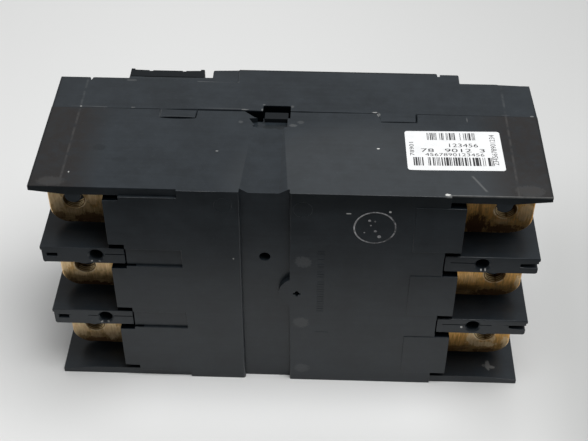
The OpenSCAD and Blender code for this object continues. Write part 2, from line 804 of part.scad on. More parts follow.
module rating_plate() {
  plate_z = mid_z + guard_w / 2 + plate_gap;
  color("silver")
    placed()
      block([handle_x - plate_l / 2, handle_x + plate_l / 2], [front_y, front_y + label_t],
            [plate_z, plate_z + plate_w]);
}

module side_label() {
  color("white")
    placed()
      translate([half_l - label_inset - label_l / 2, label_y, case_w])
        rotate([0, 0, label_turn])
          translate([-label_l / 2, -label_w / 2, 0])
            cube([label_l, label_w, label_t]);
}

base();
cover();
trip_unit_cover();
barrier(-1, barrier_z[0]);  // load_barrier_1
barrier(-1, barrier_z[1]);  // load_barrier_2
barrier(1, barrier_z[0]);  // line_barrier_1
barrier(1, barrier_z[1]);  // line_barrier_2
terminal(-1, 0);  // load_terminal_1
terminal(-1, 1);  // load_terminal_2
terminal(-1, 2);  // load_terminal_3
terminal(1, 0);  // line_terminal_1
terminal(1, 1);  // line_terminal_2
terminal(1, 2);  // line_terminal_3
handle();
handle_guard();
handle_shutter();
trip_button();
trip_dial(0);  // trip_dial_1
trip_dial(1);  // trip_dial_2
trip_dial(2);  // trip_dial_3
cover_screw(0);  // cover_screw_1
cover_screw(1);  // cover_screw_2
cover_screw(2);  // cover_screw_3
cover_screw(3);  // cover_screw_4
trip_cover_screw(0);  // trip_cover_screw_1
trip_cover_screw(1);  // trip_cover_screw_2
upper_latch();
lower_latch();
rating_plate();
side_label();
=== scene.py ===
"""Looks of a three-pole molded case circuit breaker that lies on its long side."""
import json
import math
import random

import bmesh
import bpy
from mathutils import Matrix, Vector


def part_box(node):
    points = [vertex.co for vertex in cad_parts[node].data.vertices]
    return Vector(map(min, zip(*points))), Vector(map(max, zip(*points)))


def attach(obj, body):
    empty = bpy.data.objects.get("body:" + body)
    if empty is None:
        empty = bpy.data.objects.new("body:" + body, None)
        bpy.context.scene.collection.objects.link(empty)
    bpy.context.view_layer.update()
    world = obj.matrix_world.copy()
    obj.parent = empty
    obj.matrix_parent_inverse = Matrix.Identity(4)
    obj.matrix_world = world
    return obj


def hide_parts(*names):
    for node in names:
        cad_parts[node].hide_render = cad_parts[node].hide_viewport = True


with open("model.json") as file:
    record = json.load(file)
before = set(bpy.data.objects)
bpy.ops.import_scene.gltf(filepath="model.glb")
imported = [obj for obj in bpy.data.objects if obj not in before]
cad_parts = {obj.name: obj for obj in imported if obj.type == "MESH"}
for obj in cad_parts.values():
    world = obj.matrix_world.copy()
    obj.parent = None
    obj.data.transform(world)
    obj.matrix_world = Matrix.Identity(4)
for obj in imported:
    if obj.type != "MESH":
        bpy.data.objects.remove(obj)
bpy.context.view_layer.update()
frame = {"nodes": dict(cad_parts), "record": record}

MM = 0.001


def middle_z(node):
    """Height of a node's middle, in millimetres."""
    low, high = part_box(node)
    return (low.z + high.z) / 2 / MM


# Planes and centres of the case, taken from the solids.
# Depth is counted from the back edge of the walls.
back_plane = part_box("load_barrier_1")[0].y
case_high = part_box("cover")[1]
half_length = case_high.x / MM
case_width = case_high.z / MM
lowest_pole = middle_z("load_terminal_1")
pole_pitch = middle_z("load_terminal_2") - lowest_pole
front_depth = (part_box("rating_plate")[0].y - back_plane) / MM
hole_along = {mount["name"]: mount["pos_m"][0] / MM for mount in frame["record"]["mounts"]}
LOAD_HOLE = hole_along["load_terminal_hole_1"]
LINE_HOLE = hole_along["line_terminal_hole_1"]
HOLE_RADIUS = 5.4
THREAD_RADIUS = 6.1
THREAD_PITCH = 1.4

# Depths on the case in millimetres.
PAD_DEPTH = -1.3                  # the raised pads of the back stand behind the walls' edge
DISH_DEPTH = 55.7                 # lower edge of the dish under each latch
NOTCH_DEPTH = 62.4                # lower edge of the notches under the seam
SEAM_DEPTH = 70.0                 # the seam of base and cover, and how far it stands open
SEAM_GAP = 0.4
WINDOW_TOP = SEAM_DEPTH + 5.6     # upper edge of the latch windows
STEP_DEPTH = 90                   # between the cover's side steps and its front
LATCH_SKIN = 3                    # thickness of the case outside the wells behind the latches

# Places along the case in millimetres.
CHANNEL_X = (-26.8, 0.4)          # sides of the channel down the back
SEAM_END_X = 119                  # beyond this the seam stays closed
WINDOW_X = (-17.5, -1.5)
WEDGE_X = (-28.3, -22.0, -17.3)   # the wedge beside a latch, and its depths under the seam there
WEDGE_DEPTHS = (0.3, 3.6, 4.2)
TERMINAL_SLOTS_X = ((-100.8, -86.5), (81.0, 95.3))  # the slots that the terminals come out of
BARRIER_PITCH = 50.8
barrier_z = case_width / 2 - BARRIER_PITCH / 2

# Lines on the upper side in millimetres.
RAISED_FRONT_X = (-33, 86)
LID_JOINT_X, LID_JOINT_DEPTHS = (-90, -60), (102.9, 104.2)
# The shoulder carries a painted highlight along its edge.
SHOULDER_X, SHOULDER_DEPTH = (-57, -34), 98.3
WITNESS_X, WITNESS_MIDDLE = 122.4, -0.7
SCRATCH_DEPTHS = (4.5, 15.5)
SCRATCH_LINE = (0.881, 0.473, 94.25)  # the direction across the scratch, and its distance from 0

# Colours of the dark places of the plastic: stains with painted shade, and the painted shade laid
# into gaps and seams; and how much it shines.
STAIN_AND_SHADE_DARK = (0.002, 0.004, 0.005)
PAINTED_GAP_SHADE = (0.002, 0.003, 0.004)
PLASTIC_GLOSS = 0.36


def at(x, depth, z):
    """A point given in millimetres along the case, in front of the walls' back edge, and up."""
    return Vector((x * MM, back_plane + depth * MM, z * MM))


# ---------------------------------------------------------------- working in edit mode

def only(*objects):
    """Makes the objects the selected ones, and the first one active."""
    bpy.ops.object.select_all(action="DESELECT")
    for obj in objects:
        obj.select_set(True)
    bpy.context.view_layer.objects.active = objects[0]


def edit(*objects):
    """Starts edit mode on the objects."""
    only(*objects)
    bpy.ops.object.mode_set(mode="EDIT")


def leave():
    """Ends edit mode."""
    bpy.ops.object.mode_set(mode="OBJECT")


def pick(obj, kind, test):
    """In edit mode, selects the faces or edges of obj that pass a test."""
    bpy.ops.mesh.select_mode(type=kind)
    bpy.ops.mesh.select_all(action="DESELECT")
    mesh = bmesh.from_edit_mesh(obj.data)
    for item in {"FACE": mesh.faces, "EDGE": mesh.edges, "VERT": mesh.verts}[kind]:
        item.select_set(test(item))
    mesh.select_flush_mode()
    bmesh.update_edit_mesh(obj.data)


def extrude(x=0.0, y=0.0, z=0.0):
    """In edit mode, pulls the selected faces out by millimetres."""
    bpy.ops.mesh.extrude_region_move(TRANSFORM_OT_translate={"value": (x * MM, y * MM, z * MM)})


def settle(obj, angle=30):
    """Puts a finished piece's place into its mesh and shades it smooth between its edges."""
    only(obj)
    bpy.ops.object.transform_apply(location=True, rotation=True, scale=True)
    bpy.ops.object.shade_smooth_by_angle(angle=math.radians(angle))
    return obj


def apply_modifier(obj, kind, **settings):
    """Adds a modifier with its settings and applies it."""
    only(obj)
    modifier = obj.modifiers.new(kind.title(), kind)
    for key, value in settings.items():
        setattr(modifier, key, value)
    bpy.ops.object.modifier_apply(modifier=modifier.name)


def cut(obj, cutter):
    """Takes the cutter's shape out of obj."""
    apply_modifier(obj, "BOOLEAN", operation="DIFFERENCE", object=cutter, solver="EXACT")
    bpy.data.objects.remove(cutter)


def copy_of(obj, name, shift=(0, 0, 0)):
    """A copy with its own mesh, moved by millimetres."""
    copy = obj.copy()
    copy.data = obj.data.copy()
    copy.name = name
    bpy.context.scene.collection.objects.link(copy)
    copy.location = copy.location + Vector(shift) * MM
    return copy


def join(name, parts):
    """Makes one object of several."""
    only(*parts)
    bpy.ops.object.join()
    parts[0].name = name
    return parts[0]


def moulding(name, node):
    """A merged copy of a CAD node, with its flat faces joined, that may be worked on."""
    obj = bpy.data.objects.new(name, frame["nodes"][node].data.copy())
    bpy.context.scene.collection.objects.link(obj)
    only(obj)
    bpy.ops.mesh.customdata_custom_splitnormals_clear()
    edit(obj)
    bpy.ops.mesh.select_all(action="SELECT")
    bpy.ops.mesh.remove_doubles(threshold=0.005 * MM)
    bpy.ops.mesh.dissolve_limited(angle_limit=math.radians(0.2))
    leave()
    return obj


def soften(obj, width, least=6.0, test=None, segments=2):
    """Rounds the outer edges of obj that are at least so many millimetres long."""
    def chosen(edge):
        return (len(edge.link_faces) == 2 and edge.is_convex and edge.calc_face_angle() > 0.9
                and edge.calc_length() > least * MM and (test is None or test(edge)))
    edit(obj)
    pick(obj, "EDGE", chosen)
    bpy.ops.mesh.bevel(offset=width * MM, segments=segments, clamp_overlap=False)
    leave()


def place_of(vert):
    """A vertex's place in millimetres: along the case, in front of the back edge, and up."""
    return vert.co.x / MM, (vert.co.y - back_plane) / MM, vert.co.z / MM


def near(value, target, reach=0.1):
    """Whether two values are the same within a reach."""
    return abs(value - target) < reach


def shift_verts(obj, test, x=0.0, y=0.0, z=0.0):
    """Moves the vertices that pass a test on their place, by millimetres."""
    edit(obj)
    pick(obj, "VERT", lambda vert: test(*place_of(vert)))
    bpy.ops.transform.translate(value=(x * MM, y * MM, z * MM))
    leave()


def block(name, x, depth, z):
    """A plain block between two millimetre values on each axis, to be shaped or cut with."""
    middle = at(sum(x) / 2, sum(depth) / 2, sum(z) / 2)
    bpy.ops.mesh.primitive_cube_add(size=1, location=middle)
    obj = bpy.context.object
    obj.name = name
    obj.scale = [(high - low) * MM for low, high in (x, depth, z)]
    only(obj)
    bpy.ops.object.transform_apply(location=True, rotation=True, scale=True)
    return obj


# ---------------------------------------------------------------- finishes

class Value:
    """A shader socket that can be used in Python expressions."""

    def __init__(self, finish, socket):
        self.finish = finish
        self.socket = socket

    def maths(self, operation, *values, clamp=False):
        return self.finish.node("ShaderNodeMath", {"operation": operation, "use_clamp": clamp},
                                dict(enumerate(values)))

    def __add__(self, other):
        return self.maths("ADD", self, other)

    def __sub__(self, other):
        return self.maths("SUBTRACT", self, other)

    def __rsub__(self, other):
        return self.maths("SUBTRACT", other, self)

    def __mul__(self, other):
        return self.maths("MULTIPLY", self, other)

    def __truediv__(self, other):
        return self.maths("DIVIDE", self, other)

    def __pow__(self, other):
        return self.maths("POWER", self, other)

    __radd__ = __add__
    __rmul__ = __mul__

    def most(self, other):
        """The larger of two values."""
        return self.maths("MAXIMUM", self, other)

    def least(self, other):
        """The smaller of two values."""
        return self.maths("MINIMUM", self, other)

    def away(self, centre):
        """Distance from a value."""
        return self.maths("ABSOLUTE", self - centre)

    def wrap(self, half):
        """The same, folded into the span from -half to half."""
        return self.maths("WRAP", self, half, -half)

    def rise(self, low, high):
        """0 at low and 1 at high, smooth between; low above high turns it round."""
        return self.finish.node("ShaderNodeMapRange", {"interpolation_type": "SMOOTHSTEP"},
                                {"Value": self, "From Min": low, "From Max": high})

    def within(self, low, high, soft=0.4):
        """1 between two values and 0 outside them, with soft ends."""
        return self.rise(low - soft, low) * self.rise(high + soft, high)


class Nodes:
    """A node tree that is built up from expressions."""

    def __init__(self, tree, coordinate="Object"):
        self.tree = tree
        self.place = self.node("ShaderNodeTexCoord", {}, {}, coordinate)

    def node(self, kind, settings, inputs, output=0):
        """Adds a node with its settings and inputs, and returns one of its outputs."""
        node = self.tree.nodes.new(kind)
        for key, value in settings.items():
            setattr(node, key, value)
        for key, value in inputs.items():
            if isinstance(value, Value):
                self.tree.links.new(value.socket, node.inputs[key])
            else:
                node.inputs[key].default_value = value
        return Value(self, node.outputs[output])

    def part(self, axis):
        """One coordinate of the place, 0 to 2."""
        return self.node("ShaderNodeSeparateXYZ", {}, {0: self.place}, axis)

    def split(self):
        """The three coordinates in millimetres: along, in front of the back edge, up."""
        return self.part(0) / MM, (self.part(1) - back_plane) / MM, self.part(2) / MM

    def noise(self, size, detail=3.0, roughness=0.5, stretch=(1, 1, 1), offset=(0, 0, 0)):
        """Noise from 0 to 1 with features of about that many millimetres."""
        placed = self.node("ShaderNodeMapping", {}, {"Vector": self.place, "Scale": stretch,
                                                     "Location": offset})
        return self.node("ShaderNodeTexNoise", {}, {"Vector": placed, "Scale": 1 / (size * MM),
                                                    "Detail": detail, "Roughness": roughness})

    def mix(self, factor, first, second):
        """From one colour to another."""
        inputs = {0: factor}
        for key, colour in ((6, first), (7, second)):
            inputs[key] = colour if isinstance(colour, Value) else (*colour, 1)
        return self.node("ShaderNodeMix", {"data_type": "RGBA"}, inputs, 2)


class Finish(Nodes):
    """A procedural material with one shader."""

    def __init__(self, name, gloss=0.5, **shader_values):
        self.material = bpy.data.materials.new(name)
        self.material.use_nodes = True
        self.shader = self.material.node_tree.nodes["Principled BSDF"]
        for key, value in shader_values.items():
            self.shader.inputs[key.replace("_", " ").title()].default_value = value
        self.shader.inputs["Specular IOR Level"].default_value = gloss
        super().__init__(self.material.node_tree)

    def bump(self, height, distance):
        """Relief of that many millimetres, from a height between 0 and 1."""
        return self.node("ShaderNodeBump", {}, {"Height": height, "Distance": distance * MM,
                                                "Strength": 1.0})

    def set(self, **links):
        """Links values to the shader's inputs and returns the finished material."""
        for key, value in links.items():
            self.tree.links.new(value.socket, self.shader.inputs[key.replace("_", " ").title()])
        return self.material

    def cover_with(self, colour, factor):
        """Lays a dull, unlit black over the surface where the factor is 1: painted shade."""
        shade_paint = self.node("ShaderNodeBsdfPrincipled", {},
                         {"Base Color": (*colour, 1), "Roughness": 1.0, "Specular IOR Level": 0.0})
        clean = Value(self, self.shader.outputs[0])
        covered = self.node("ShaderNodeMixShader", {}, {0: factor, 1: clean, 2: shade_paint})
        self.tree.links.new(covered.socket, self.tree.nodes["Material Output"].inputs["Surface"])

    def spots(self, across, along, places, ragged):
        """The strongest of some soft spots: centre, half sizes and strength of each."""
        total = None
        for x, y, half_x, half_y, strength in places:
            far = ((across - x) / half_x) ** 2 + ((along - y) / half_y) ** 2 + ragged
            spot = far.rise(1.15, 0.5) * strength
            total = spot if total is None else total.most(spot)
        return total


def dress(obj, material):
    """Gives obj one material and no other."""
    obj.data.materials.clear()
    obj.data.materials.append(material)


def add_piece(obj, material, slot, *nodes, angle=40):
    """Finishes a piece: its place, its body, its material and the CAD nodes that it stands for."""
    settle(obj, angle)
    apply_modifier(obj, "WEIGHTED_NORMAL", keep_sharp=True)
    dress(obj, material)
    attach(obj, "root")
    if nodes:
        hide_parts(*nodes)


# Spots in tables: centre and half sizes in millimetres, and strength. Pale scuffs come first; among
# the pale spots of the upper side are painted highlights and painted light.
# Scuffs, with painted highlights along the seam and the dish's rims, and painted light in the shade
# under the latch bar.
UPPER_SCUFFS_AND_HIGHLIGHTS = (  # along, depth
    (48.1, 38.1, 0.9, 0.5, 0.9), (-119.6, 12.3, 0.4, 0.7, 0.5), (49.0, 69.1, 1.0, 1.7, 0.18),
    (46.8, 71.2, 1.5, 0.5, 0.4), (84.0, 0.6, 1.6, 0.9, 0.9), (-122.9, 71.2, 0.7, 0.7, 0.3),
    (-92.7, 71.2, 1.4, 0.4, 0.12), (121.5, 71.2, 2.6, 0.4, 0.03), (136.6, 70.6, 1.0, 0.7, 0.2),
    (-40.0, 72.0, 14.0, 0.5, 0.03), (-118.0, 71.3, 12.0, 0.6, 0.022), (-76.2, 66.0, 0.5, 4.0, 0.03),
    (-66.0, 63.6, 9.0, 0.4, 0.03), (-28.0, 71.3, 2.2, 0.5, 0.16), (-17.2, 76.3, 0.9, 0.6, 0.1),
    (-18.0, 71.4, 0.5, 1.2, 0.16), (-17.0, 67.0, 0.6, 3.6, 0.14), (-9.5, 61.8, 7.0, 1.6, 0.03),
    (-0.6, 75.0, 1.0, 1.2, 0.06), (0.3, 57.3, 2.4, 1.3, 0.06), (4.5, 60.3, 2.0, 1.6, 0.04),
    (-29.6, 59.6, 1.4, 1.2, 0.05), (-41.0, 33.0, 0.9, 0.7, 0.2), (99.2, 66.0, 0.35, 2.2, 0.1),
    (-111.6, 71.0, 5.0, 0.35, 0.06), (-128.0, 4.5, 8.0, 4.0, 0.025), (128.0, 5.0, 9.0, 5.0, 0.03),
    (-97.0, 98.0, 3.5, 1.2, 0.05),
)
BACK_SCUFFS = (  # along, up
    (32.1, 139.0, 1.4, 0.5, 0.55), (54.3, 140.8, 0.7, 0.7, 0.7), (-31.1, 103.0, 0.5, 0.5, 0.5),
    (107.6, 97.5, 0.5, 0.9, 0.65), (109.9, 97.6, 0.45, 0.8, 0.55), (-111.4, 97.4, 0.6, 0.6, 0.5),
    (-106.9, 97.2, 0.9, 0.4, 0.2), (101.4, 50.2, 0.7, 1.0, 0.75), (-111.3, 46.7, 0.8, 0.6, 0.4),
    (-107.5, 46.7, 0.8, 0.5, 0.25), (8.0, 101.9, 5.0, 4.5, 0.045), (6.9, 52.0, 5.0, 4.5, 0.045),
    (7.6, 11.0, 5.0, 4.0, 0.04),
)
LOWER_SCUFFS = (  # along, depth, on the inner face of the lower wall
    (122.9, 9.6, 1.6, 4.2, 0.16), (124.2, 8.6, 3.4, 1.4, 0.16), (120.6, 9.2, 1.6, 1.0, 0.1),
)
DUST_FILMS = ((45.0, 8.0, 90.0, 60.0, 0.022), (110.0, -10.0, 60.0, 40.0, 0.008))  # along, depth

# Dark places on the upper side: dull stains, painted shade in the dish and painted shade in the
# seams.
UPPER_STAINS = ((-106.4, 33.9, 5.0, 3.4, 0.35), (-94.0, 24.0, 6.0, 3.0, 0.25))  # along, depth
DISH_SHADE = (  # along, depth
    (-18.5, 58.8, 3.5, 3.6, 0.3), (-13.0, 58.0, 6.0, 4.2, 0.6), (-7.0, 58.2, 6.0, 4.6, 0.6),
)
SEAM_SHADE = (  # along, depth
    (-46.5, 70.2, 31.0, 0.95, 0.75), (5.0, 70.2, 9.0, 0.8, 0.6), (22.0, 70.2, 18.0, 0.7, 0.35),
    (-65.9, 62.3, 11.0, 1.1, 0.95), (60.0, 62.4, 11.5, 0.8, 0.5), (-4.9, 64.8, 1.6, 0.7, 0.7),
    (70.5, 66.2, 0.7, 5.0, 0.7), (-55.5, 66.2, 0.6, 4.0, 0.5), (-86.0, 70.0, 9.0, 0.4, 0.25),
)

# Spots on the terminals: pale, orange, and stained brown with painted shade along the straps' lower
# edges, then the painted light in their threads.
BRASS_PALE = (  # along, up
    (-131.8, 126.8, 4.6, 8.5, 0.75), (-110.5, 128.5, 4.6, 4.5, 0.55),
    (-122.5, 119.3, 6.5, 2.2, 0.4),
    (-133.0, 77.0, 3.8, 7.0, 0.75), (-110.5, 75.5, 4.6, 5.5, 0.6), (-124.5, 69.0, 5.0, 2.2, 0.55),
    (-131.5, 20.5, 5.5, 7.5, 0.8), (-110.5, 20.0, 5.5, 9.0, 0.85), (-120.5, 15.5, 4.0, 3.5, 0.3),
    (130.5, 126.0, 5.0, 8.0, 0.6), (114.8, 125.4, 2.6, 2.4, 0.8), (119.0, 118.8, 7.0, 2.4, 0.3),
    (133.3, 71.0, 1.8, 5.5, 0.85), (115.2, 75.5, 2.2, 3.5, 0.7), (105.0, 74.0, 6.0, 5.0, 0.25),
    (112.6, 20.0, 4.4, 6.0, 0.85), (119.5, 15.4, 7.5, 2.8, 0.85), (125.3, 20.5, 1.8, 3.5, 0.7),
    (132.8, 17.0, 2.3, 6.0, 0.85),
)
BRASS_ORANGE = (  # along, up
    (-109.5, 127.0, 3.6, 5.0, 0.45), (-131.0, 74.5, 3.4, 3.2, 0.5), (-110.0, 76.0, 4.0, 3.0, 0.5),
    (-120.0, 77.0, 4.6, 5.0, 0.6), (101.5, 127.0, 3.4, 5.0, 0.35), (101.0, 76.5, 5.0, 7.0, 0.85),
    (107.0, 74.5, 5.5, 7.0, 0.55), (128.0, 70.0, 3.6, 5.5, 0.5), (101.5, 20.5, 6.0, 6.0, 0.9),
    (104.8, 16.5, 3.5, 3.5, 0.6), (127.8, 15.5, 3.4, 5.5, 0.6),
)
# Stains; the wide dark bands along each strap's lower edge are painted shade.
BRASS_STAINS_AND_SHADE = (  # along, up
    (-113.0, 113.5, 9.0, 4.5, 0.8), (-130.5, 115.5, 4.0, 3.0, 0.6), (-108.3, 126.5, 1.0, 1.6, 0.6),
    (-112.8, 126.0, 0.9, 1.4, 0.5), (-119.0, 110.0, 14.0, 2.0, 0.9), (-119.0, 60.5, 14.0, 2.4, 0.9),
    (-129.5, 62.5, 3.0, 2.4, 0.6), (-120.5, 10.0, 12.0, 3.0, 0.8), (-121.3, 22.5, 4.5, 4.0, 0.6),
    (104.5, 116.5, 7.5, 7.5, 0.95), (105.5, 126.0, 1.6, 6.0, 0.5), (120.0, 113.0, 12.0, 3.4, 0.85),
    (119.5, 126.5, 5.0, 4.5, 0.5), (105.0, 65.0, 8.0, 3.0, 0.45), (119.0, 61.0, 14.0, 3.2, 0.8),
    (103.0, 11.0, 7.0, 3.5, 0.55), (121.5, 9.5, 8.0, 2.6, 0.7),
)
BORE_LIGHT = (  # along, up from the pole's middle
    (-117.0, -3.5, 3.0, 2.6, 0.7), (-121.0, -4.5, 5.0, 2.0, 0.35), (113.8, -1.5, 3.2, 3.5, 0.9),
    (117.5, -5.0, 3.0, 2.0, 0.6), (122.5, -3.5, 2.4, 2.6, 0.35),
)


def on_upper_side(up):
    """1 on the case's upper side and 0 under it."""
    return up.rise(case_width - 0.3, case_width - 0.1)


def stains_and_painted_shade(finish, along, depth, up, mottle):
    """Where the plastic is darker: stains, and painted shade on the rounded ends and the front's
    crest, in the lid joint and the dish, and at the upper edge of the back and the walls over the
    pockets.
    """
    rim = up.rise(case_width - 2.6, case_width - 1.8)
    stains = finish.spots(along, depth, UPPER_STAINS, mottle * 0.5) * on_upper_side(up)
    # Painted shade: the rounded ends, the front's crest and the lid joint are darkened.
    ends = along.away(0).rise(half_length - 1.7, half_length - 0.5) * rim * 0.65
    crest = depth.rise(front_depth - 2.4, front_depth - 0.9) * along.within(*RAISED_FRONT_X, 2)
    crest = crest * rim * 0.75
    lid_joint = depth.within(*LID_JOINT_DEPTHS, 0.3) * along.within(*LID_JOINT_X, 2) * rim * 0.85
    # Painted shade in the dish under the latch.
    sunk = up.away(case_width / 2).rise(case_width / 2 - 0.02, case_width / 2 - 0.15)
    dish = finish.spots(along, depth, DISH_SHADE, mottle * 0.3) * sunk
    # Painted shade: the back darkens towards its upper edge, and so do the walls' edges over the
    # pockets.
    back = up.rise(case_width - 0.3, case_width - 0.6) * depth.rise(0.8, 0.4)
    back_top = up.rise(133, 148) * (along.rise(-18, 6) * 0.35 + 0.25) * along.away(0).rise(99, 97)
    wall_edge = up.rise(case_width - 5.6, case_width - 5.2) * along.away(0).rise(97, 99) * 0.4
    shaded = stains.most(ends).most(crest).most(lid_joint).most(dish)
    return shaded.most(back_top.most(wall_edge) * back)


def gaps(finish, along, depth, up, ragged):
    """Painted shade, a dull black where no light comes out: latch windows, the wedges beside them,
    seams and terminal slots.
    """
    sunk = up.away(case_width / 2).rise(case_width / 2 - 0.4, case_width / 2 - 0.9)
    slope = (SEAM_DEPTH - 0.6 - (along - WEDGE_X[0]) * 0.62).most(65.9)
    wedge = (depth - slope).rise(-0.4, 0.3) * depth.rise(71, 70.6)
    wedge = wedge * along.within(WEDGE_X[0] - 1, WEDGE_X[2] - 0.2)
    window = depth.within(SEAM_DEPTH - 0.4, WINDOW_TOP + 1) * along.within(*WINDOW_X)
    beside_bar = depth.within(62, 71) * along.within(-3, -1.2) * 0.7
    # Painted shade along the seams.
    shaded_seams = finish.spots(along, depth, SEAM_SHADE, ragged * 0.25) * on_upper_side(up)
    local = (up - barrier_z).wrap(BARRIER_PITCH / 2)
    slot = local.within(5.8, 10.4, 0.1).most(local.within(-8.7, -5.8, 0.1)) * depth.rise(-1.1, -0.7)
    load_end, line_end = (along.within(*span, 0.2) for span in TERMINAL_SLOTS_X)
    slot = slot * load_end.most(line_end)
    return (sunk * wedge.most(window).most(beside_bar)).most(shaded_seams).most(slot).least(1)


def rubs_and_highlights(finish, along, depth, up, mottle, ragged):
    """Where the plastic is paler: witness lines, scratches, scuffs and films of dust, with painted
    highlights along the shoulder, the back's upper edge and among the pale spots of the upper side.
    """
    upper_side = on_upper_side(up)
    witness = (along - WITNESS_MIDDLE).away(0).away(WITNESS_X).rise(1.0, 0.2)
    witness = witness * mottle.rise(0.35, 0.6) * 0.035
    across_x, across_depth, distance = SCRATCH_LINE
    scratch = (along * across_x + depth * across_depth).away(distance).rise(0.9, 0.2)
    scratch = scratch * depth.within(*SCRATCH_DEPTHS, 1.5)
    # Painted highlight along the shoulder's edge.
    shoulder = depth.away(SHOULDER_DEPTH).rise(0.8, 0.3) * along.within(*SHOULDER_X, 1.5)
    lines = witness.most(scratch * 0.09).most(shoulder * 0.09)
    # Painted highlight along the back's upper edge towards the line end.
    edge = depth.rise(0.7, 0.2) * up.rise(case_width - 1.2, case_width - 0.4) * along.rise(82, 85)
    film = finish.spots(along, depth, DUST_FILMS, mottle * 0.3)
    upper = finish.spots(along, depth, UPPER_SCUFFS_AND_HIGHLIGHTS, ragged) * upper_side
    back = finish.spots(along, up, BACK_SCUFFS, ragged) * depth.rise(1.2, 0.8)
    lower = finish.spots(along, depth, LOWER_SCUFFS, ragged) * up.rise(7, 6)
    pale = (lines * upper_side).most(edge * mottle * 0.3) + film * upper_side
    return pale.most(upper).most(back).most(lower)


def black_plastic():
    """Satin black moulding with dusty grain, dull ends and pale scuffs, with painted shade on rims,
    dish and back, painted black shade in the gaps, and painted highlights.
    """
    finish = Finish("black_case_plastic", gloss=PLASTIC_GLOSS)
    along, depth, up = finish.split()
    grain = finish.noise(0.45, 2.0, 0.7)
    cloud = finish.noise(24, 4.0, 0.6)
    mottle = finish.noise(6, 4.0, 0.7, offset=(0.2, 0.0, 0.1))
    streak = finish.noise(2.0, 3.0, 0.6, stretch=(0.05, 1, 1))
    ragged = (finish.noise(1.2, 3.0, 0.7) - 0.5) * 2.2
    shade = cloud * 0.5 + mottle * 0.3 + streak * 0.2
    colour = finish.mix(shade.rise(0.3, 0.7), (0.0115, 0.0150, 0.0185), (0.0200, 0.0258, 0.0315))
    ends = along.away(0).rise(100, 121) * depth.rise(70.4, 69.6) * on_upper_side(up)
    dull = ends * (mottle.rise(0.3, 0.6) * 0.5 + 0.5)
    colour = finish.mix(dull, colour, (0.0130, 0.0118, 0.0118))
    # Stains and painted shade.
    colour = finish.mix(stains_and_painted_shade(finish, along, depth, up, mottle), colour, STAIN_AND_SHADE_DARK)
    dust = (grain * 0.6 + finish.noise(0.8, 1.0, 0.5, offset=(0.3, 0.1, 0)) * 0.4).rise(0.60, 0.74)
    colour = finish.mix(dust * mottle.rise(0.35, 0.7) * 0.12, colour, (0.35, 0.36, 0.37))
    colour = finish.mix(rubs_and_highlights(finish, along, depth, up, mottle, ragged), colour, (0.62, 0.62, 0.60))
    # Painted shade: a dull black laid into the gaps and seams.
    finish.cover_with(PAINTED_GAP_SHADE, gaps(finish, along, depth, up, ragged))
    rough = cloud * 0.08 + 0.26 + dust * 0.1
    return finish.set(base_color=colour, roughness=rough, normal=finish.bump(grain, 0.015))


def aged_brass():
    """Stained strap: gold and pale spots above, browner below from tarnish and painted shade, with
    painted shade and glints in the threads.
    """
    finish = Finish("aged_brass", gloss=0.1, metallic=0.88)
    along, depth, up = finish.split()
    local = (up - lowest_pole).wrap(pole_pitch / 2)
    from_hole = (along - LOAD_HOLE).away(0).least((along - LINE_HOLE).away(0))
    radius = (from_hole ** 2 + local ** 2) ** 0.5
    cloud = finish.noise(5, 4.0, 0.65)
    streak = finish.noise(1.1, 4.0, 0.7, stretch=(1, 1, 0.12))
    level = finish.noise(1.1, 3.0, 0.6, stretch=(0.15, 1, 1))
    fine = finish.noise(0.6, 3.0, 0.7)
    ragged = (finish.noise(2.2, 4.0, 0.7, stretch=(1, 1, 0.45)) - 0.5) * 4.0
    streaked = streak.rise(0.3, 0.7)
    gold = finish.mix(along.rise(-1, 1), (0.86, 0.60, 0.30), (0.88, 0.48, 0.14))
    colour = finish.mix((cloud * 0.5 + streak * 0.5).rise(0.36, 0.60), (0.44, 0.27, 0.11), gold)
    brown = finish.mix(level.rise(0.35, 0.65), (0.20, 0.115, 0.05), (0.50, 0.34, 0.17))
    # Browner and darker towards each strap's lower edge: tarnish with painted shade.
    colour = finish.mix(local.rise(-6, -15) * 0.75, colour, brown)
    stains = finish.spots(along, up, BRASS_STAINS_AND_SHADE, ragged)
    stained = finish.mix(fine, (0.055, 0.024, 0.012), (0.17, 0.085, 0.04))
    colour = finish.mix(stains, colour, stained)
    orange = finish.mix(streaked, (0.55, 0.27, 0.06), (1.0, 0.60, 0.22))
    colour = finish.mix(finish.spots(along, up, BRASS_ORANGE, ragged), colour, orange)
    pale = finish.mix(streaked, (0.80, 0.55, 0.30), (1.0, 0.80, 0.50))
    colour = finish.mix(finish.spots(along, up, BRASS_PALE, ragged), colour, pale)
    # Painted highlight on the chamfered mouth of each hole.
    rim = radius.away(THREAD_RADIUS + 0.4).rise(0.5, 0.15) * depth.rise(19.2, 18.4)
    colour = finish.mix(rim * cloud.rise(0.4, 0.55) * 0.6, colour, (0.95, 0.82, 0.60))
    # Painted shade in the threads, and painted glints on their lower side.
    bore = radius.rise(THREAD_RADIUS + 0.25, THREAD_RADIUS) * depth.rise(18.1, 18.6)
    lit = radius.rise(HOLE_RADIUS + 0.4, HOLE_RADIUS + 0.05)
    lit = lit * finish.spots(along, local, BORE_LIGHT, ragged * 0.3)
    colour = finish.mix(bore * 0.9, colour, finish.mix(lit, (0.06, 0.03, 0.01), (1.0, 0.78, 0.42)))
    rough = cloud * 0.16 + 0.26 + stains * 0.2
    return finish.set(base_color=colour, roughness=rough, normal=finish.bump(fine, 0.03))


def plain(name, colour, **values):
    """One colour, faintly clouded."""
    finish = Finish(name, **values)
    cloud = finish.noise(6, 3.0, 0.6)
    dark = tuple(0.8 * c for c in colour)
    return finish.set(base_color=finish.mix(cloud, dark, colour))


